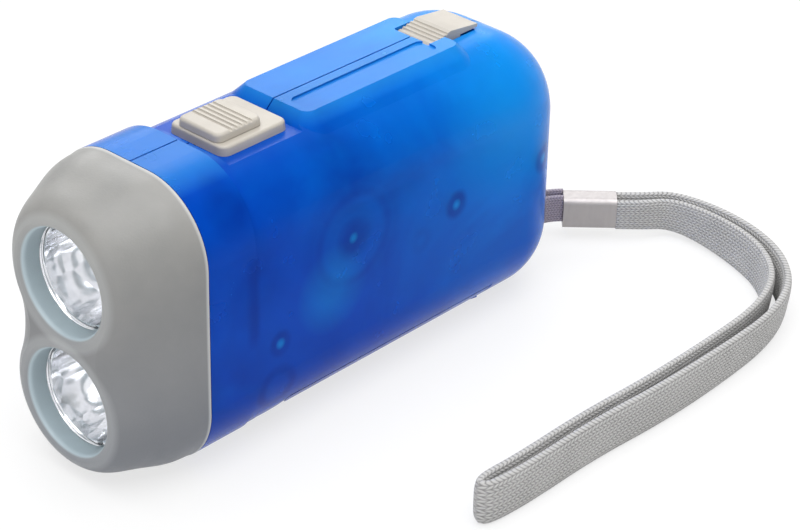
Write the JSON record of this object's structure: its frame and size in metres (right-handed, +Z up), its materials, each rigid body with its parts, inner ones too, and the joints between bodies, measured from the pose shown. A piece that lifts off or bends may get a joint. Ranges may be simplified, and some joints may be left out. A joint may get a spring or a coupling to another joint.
{
  "type": "squeeze dynamo flashlight",
  "caption": "Palm-sized hand-powered flashlight: clear blue casing with gear train and generator, squeeze lever, twin lamps, slide switch, lock button and woven wrist strap.",
  "frame": {"origin": "under the middle of the torch without its strap, on the surface it stands on", "axes": "+X from the lamps to the strap, +Z up, +Y to the side of the casing screws"},
  "size_m": [0.1286, 0.0746, 0.0503],
  "materials": {
    "clear_blue": "frosted clear blue plastic, satin",
    "warm_grey": "satin warm grey plastic",
    "lens": "clear polished plastic",
    "reflector": "vacuum-metallised, mirror",
    "led": "clear water-white epoxy",
    "board": "circuit board with solder mask",
    "component": "black moulded component",
    "cell": "shrink sleeve, plain green",
    "nickel": "nickel strip",
    "switch_body": "pressed steel can",
    "gear": "natural white moulded gear plastic",
    "flywheel": "turned steel",
    "magnet": "dark ferrite, ground",
    "axle": "ground steel",
    "claw": "zinc-plated pressed steel",
    "spool": "white moulded plastic",
    "copper": "enamelled copper wire",
    "spring_steel": "spring wire",
    "screw": "blackened steel",
    "sleeve_metal": "satin metal sleeve",
    "webbing": "flat woven strap, light mauve grey"
  },
  "bodies": {
    "casing": {"battery": "cell", "battery_tabs": "nickel", "case_screws": "screw", "coil_spool": "spool", "coil_winding": "copper", "counter_axle": "axle", "drive_axle": "axle", "eye_loop": "webbing", "head_shell": "warm_grey", "idler_axle": "axle", "inner_claws": "claw", "lamp_board": "board", "left_shell": "clear_blue", "lever_pin": "axle", "lever_spring": "spring_steel", "lower_led": "led", "lower_lens": "lens", "lower_reflector": "reflector", "main_board": "board", "outer_claws": "claw", "rectifier_diodes": "component", "right_shell": "clear_blue", "rotor_axle": "axle", "slide_switch": "switch_body", "strap_ferrule": "sleeve_metal", "strap_pin": "axle", "switch_cover": "warm_grey", "upper_led": "led", "upper_lens": "lens", "upper_reflector": "reflector", "wrist_strap": "webbing"},
    "lever": {"lever": "clear_blue", "sector_rack": "gear", "lock_catch": "clear_blue"},
    "drive_gear": {"drive_gear": "gear"},
    "idler_gear": {"idler_gear": "gear"},
    "counter_gear": {"counter_gear": "gear"},
    "rotor": {"flywheel": "flywheel", "rotor_magnet": "magnet"},
    "switch": {"switch_knob": "warm_grey"},
    "lock": {"lock_button": "warm_grey"}
  },
  "joints": [
    {"name": "lever_hinge", "type": "hinge", "parent": "casing", "child": "lever", "pos_m": [-0.021, 0, 0.0102], "axis": [0, 1, 0], "range_deg": [0, 16.5]},
    {"name": "drive_spin", "type": "hinge", "parent": "casing", "child": "drive_gear", "pos_m": [0.01974, 0, 0.02682], "axis": [0, 1, 0], "continuous": true},
    {"name": "idler_spin", "type": "hinge", "parent": "casing", "child": "idler_gear", "pos_m": [0.01137, 0, 0.02352], "axis": [0, 1, 0], "continuous": true},
    {"name": "counter_spin", "type": "hinge", "parent": "casing", "child": "counter_gear", "pos_m": [0.00238, 0, 0.02305], "axis": [0, 1, 0], "continuous": true},
    {"name": "rotor_spin", "type": "hinge", "parent": "casing", "child": "rotor", "pos_m": [-0.0044, 0, 0.0304], "axis": [0, 1, 0], "continuous": true},
    {"name": "switch_slide", "type": "slide", "parent": "casing", "child": "switch", "axis": [1, 0, 0], "range_m": [0, 0.003]},
    {"name": "lock_slide", "type": "slide", "parent": "casing", "child": "lock", "axis": [1, 0, 0], "range_m": [0, 0.003]}
  ],
  "couplings": [
    {"joint": "drive_spin", "follows": "lever_hinge", "ratio": 11},
    {"joint": "idler_spin", "follows": "lever_hinge", "ratio": -22},
    {"joint": "counter_spin", "follows": "lever_hinge", "ratio": 44},
    {"joint": "rotor_spin", "follows": "lever_hinge", "ratio": -102.67}
  ]
}
